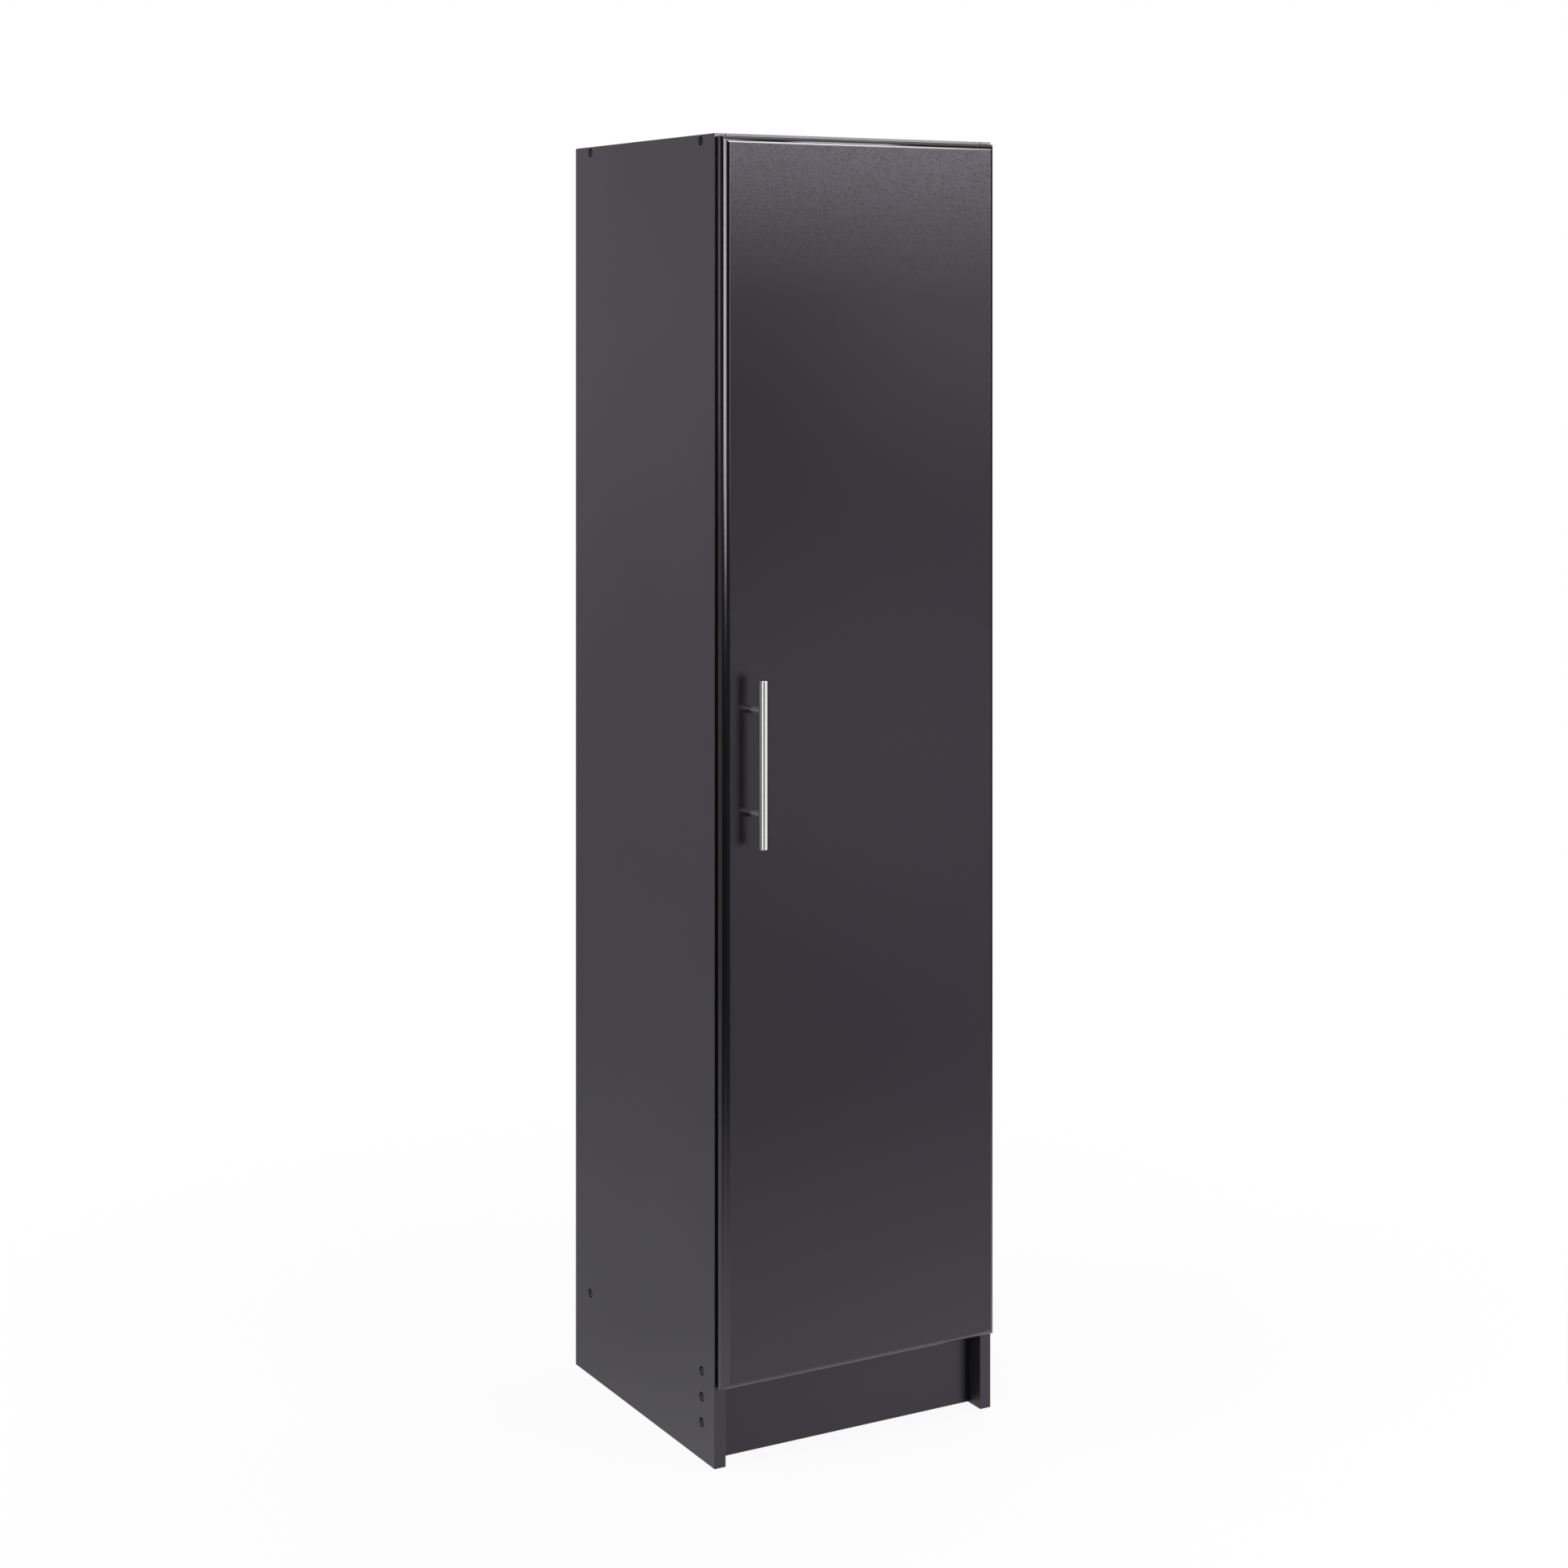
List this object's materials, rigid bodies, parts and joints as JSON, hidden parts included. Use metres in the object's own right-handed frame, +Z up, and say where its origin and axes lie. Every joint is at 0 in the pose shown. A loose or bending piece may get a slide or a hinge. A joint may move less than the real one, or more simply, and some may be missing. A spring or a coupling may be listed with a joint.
{
  "type": "storage cabinet",
  "caption": "Tall narrow storage cabinet of dark laminated board with a full-length door on cup hinges, a bar handle, a recessed kick plate and inner shelves.",
  "frame": {"origin": "On the floor, under the middle of the whole object's box, handle included.", "axes": "+Z is up. The door faces -Y and its hinges are on the +X side, so a person in front of the cabinet sees +X on the right."},
  "size_m": [0.4064, 0.4602, 1.651],
  "materials": {
    "carcass_board": "dark grey laminated board, matt",
    "door_leaf": "charcoal foil with a fine pebbled grain, slightly glossy",
    "back_board": "thin hardboard, dark grey face",
    "handle_metal": "satin nickel",
    "hinge_steel": "pressed steel, nickel plated",
    "screw_zinc": "zinc plated",
    "panel_screw": "black oxide steel",
    "dowel_wood": "bare beech",
    "bumper_pad": "soft clear pad"
  },
  "bodies": {
    "cabinet": {"left_side_panel": "carcass_board", "right_side_panel": "carcass_board", "top_panel": "carcass_board", "bottom_panel": "carcass_board", "kick_plate": "carcass_board", "back_panel": "back_board", "fixed_shelf": "carcass_board", "adjustable_shelf_lower": "carcass_board", "adjustable_shelf_middle": "carcass_board", "adjustable_shelf_upper": "carcass_board", "left_screw_top_front": "panel_screw", "left_screw_top_rear": "panel_screw", "left_screw_bottom_front": "panel_screw", "left_screw_bottom_rear": "panel_screw", "left_screw_kick_upper": "panel_screw", "left_screw_kick_lower": "panel_screw", "right_screw_top_front": "panel_screw", "right_screw_top_rear": "panel_screw", "right_screw_bottom_front": "panel_screw", "right_screw_bottom_rear": "panel_screw", "right_screw_kick_upper": "panel_screw", "right_screw_kick_lower": "panel_screw", "shelf_dowel_left_front": "dowel_wood", "shelf_dowel_left_rear": "dowel_wood", "shelf_dowel_right_front": "dowel_wood", "shelf_dowel_right_rear": "dowel_wood", "shelf_pin_lower_left_front": "screw_zinc", "shelf_pin_lower_left_rear": "screw_zinc", "shelf_pin_lower_right_front": "screw_zinc", "shelf_pin_lower_right_rear": "screw_zinc", "shelf_pin_middle_left_front": "screw_zinc", "shelf_pin_middle_left_rear": "screw_zinc", "shelf_pin_middle_right_front": "screw_zinc", "shelf_pin_middle_right_rear": "screw_zinc", "shelf_pin_upper_left_front": "screw_zinc", "shelf_pin_upper_left_rear": "screw_zinc", "shelf_pin_upper_right_front": "screw_zinc", "shelf_pin_upper_right_rear": "screw_zinc", "hinge_plate_upper": "hinge_steel", "hinge_plate_middle": "hinge_steel", "hinge_plate_lower": "hinge_steel", "hinge_arm_upper": "hinge_steel", "hinge_arm_middle": "hinge_steel", "hinge_arm_lower": "hinge_steel"},
    "door": {"door": "door_leaf", "door_bumper_upper": "bumper_pad", "door_bumper_lower": "bumper_pad", "handle_bar": "handle_metal", "handle_post_upper": "handle_metal", "handle_post_lower": "handle_metal", "handle_screw_upper": "screw_zinc", "handle_screw_lower": "screw_zinc", "hinge_cup_upper": "hinge_steel", "hinge_cup_middle": "hinge_steel", "hinge_cup_lower": "hinge_steel", "hinge_pin_upper": "hinge_steel", "hinge_pin_middle": "hinge_steel", "hinge_pin_lower": "hinge_steel"}
  },
  "joints": [
    {"name": "door_swing", "type": "hinge", "parent": "cabinet", "child": "door", "pos_m": [0.1932, -0.18525, 0.8735], "axis": [0, 0, 1], "range_deg": [0, 105]}
  ]
}
